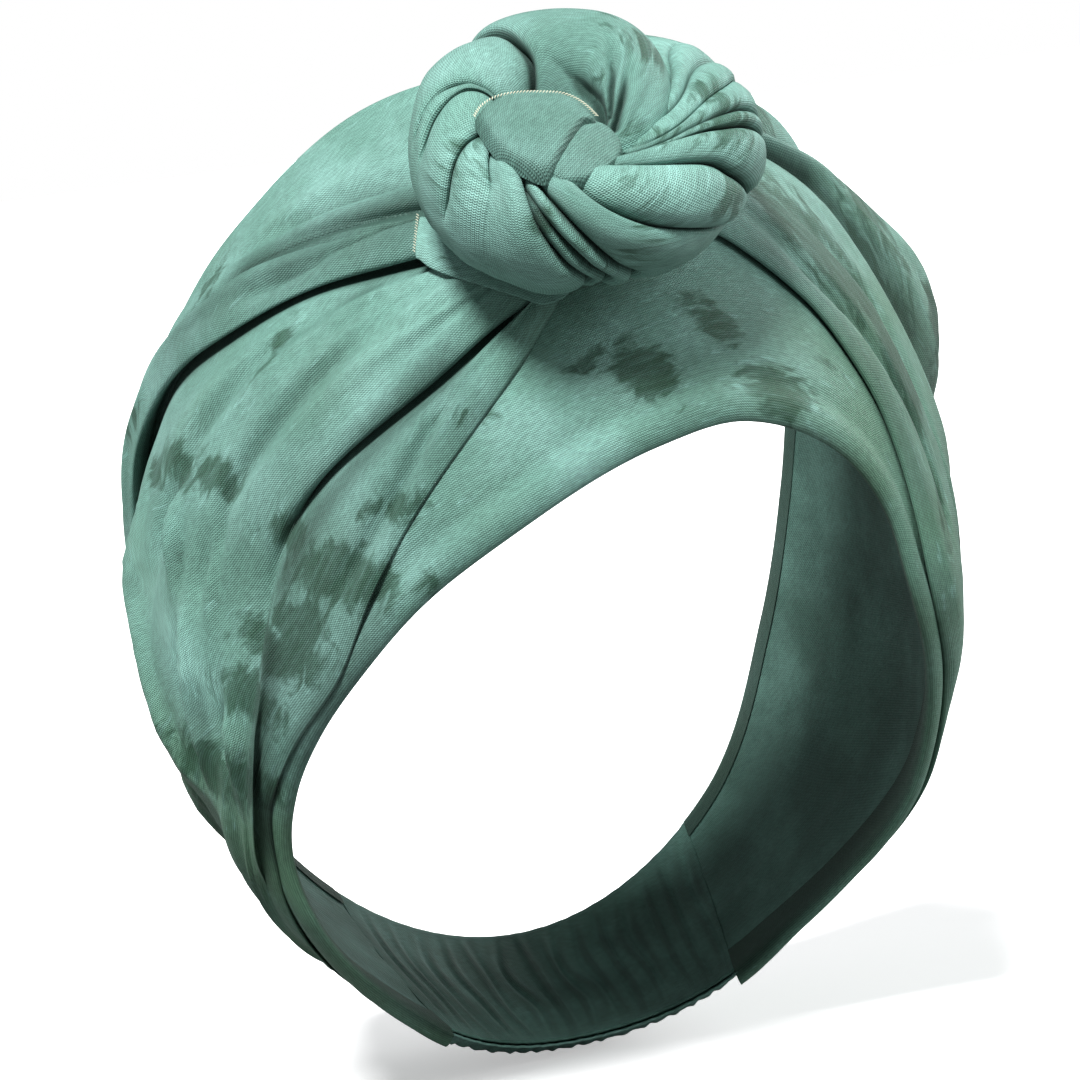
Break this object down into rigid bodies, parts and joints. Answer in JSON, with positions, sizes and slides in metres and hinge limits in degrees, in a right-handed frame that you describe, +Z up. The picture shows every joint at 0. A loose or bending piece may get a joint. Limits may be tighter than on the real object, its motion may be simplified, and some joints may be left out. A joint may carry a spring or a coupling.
{
  "type": "knotted headband",
  "caption": "Wide pleated jersey turban headband with a coiled rope knot at the front and a gathered elastic casing at the nape.",
  "frame": {"origin": "centre of the head opening", "axes": "+Z up as worn, the wearer faces -Y, +X on the right of someone who looks at the front; the band's plane leans back 45 degrees, with the knot at the front top and the elastic casing at the nape"},
  "size_m": [0.178, 0.1828, 0.2256],
  "materials": {
    "teal_jersey": "fine knit jersey, teal green with darker olive brushed blotches",
    "lining_jersey": "wrong side of the same jersey, plain and duller",
    "overlock_thread": "pale polyester overlock thread",
    "white_elastic": "woven white elastic"
  },
  "bodies": {
    "band": {"lining": "lining_jersey", "forehead_panel": "teal_jersey", "left_lower_fold": "teal_jersey", "left_main_fold": "teal_jersey", "left_upper_fold": "teal_jersey", "left_top_fold": "teal_jersey", "right_front_fold": "teal_jersey", "right_middle_fold": "teal_jersey", "right_rear_fold": "teal_jersey", "knot_base": "teal_jersey", "knot_lower_coil": "teal_jersey", "knot_upper_coil": "teal_jersey", "knot_tack_stitches": "overlock_thread", "left_gather": "teal_jersey", "right_gather": "teal_jersey"},
    "centre_tail": {"centre_tail": "teal_jersey", "centre_tail_tuck": "teal_jersey", "centre_tail_hem": "overlock_thread"},
    "lower_tail": {"lower_tail": "teal_jersey", "lower_tail_hem": "overlock_thread"},
    "nape": {"nape_casing_outer": "teal_jersey", "nape_casing_inner": "lining_jersey", "nape_elastic": "white_elastic", "left_casing_seam": "overlock_thread", "right_casing_seam": "overlock_thread"}
  },
  "joints": [
    {"name": "centre_tail_pull", "type": "slide", "parent": "band", "child": "centre_tail", "axis": [0, -0.6691, 0.7431], "range_m": [0, 0.02]},
    {"name": "lower_tail_lift", "type": "hinge", "parent": "band", "child": "lower_tail", "pos_m": [-0.0222, -0.0793, 0.0764], "axis": [-0.8302, 0.5202, 0.2003], "range_deg": [0, 8], "stiffness_Nm_per_rad": 0.002},
    {"name": "nape_stretch", "type": "slide", "parent": "band", "child": "nape", "axis": [0, 0.3584, -0.9336], "range_m": [0, 0.015], "stiffness_N_per_m": 150, "deforming": ["left_gather", "right_gather"]}
  ]
}
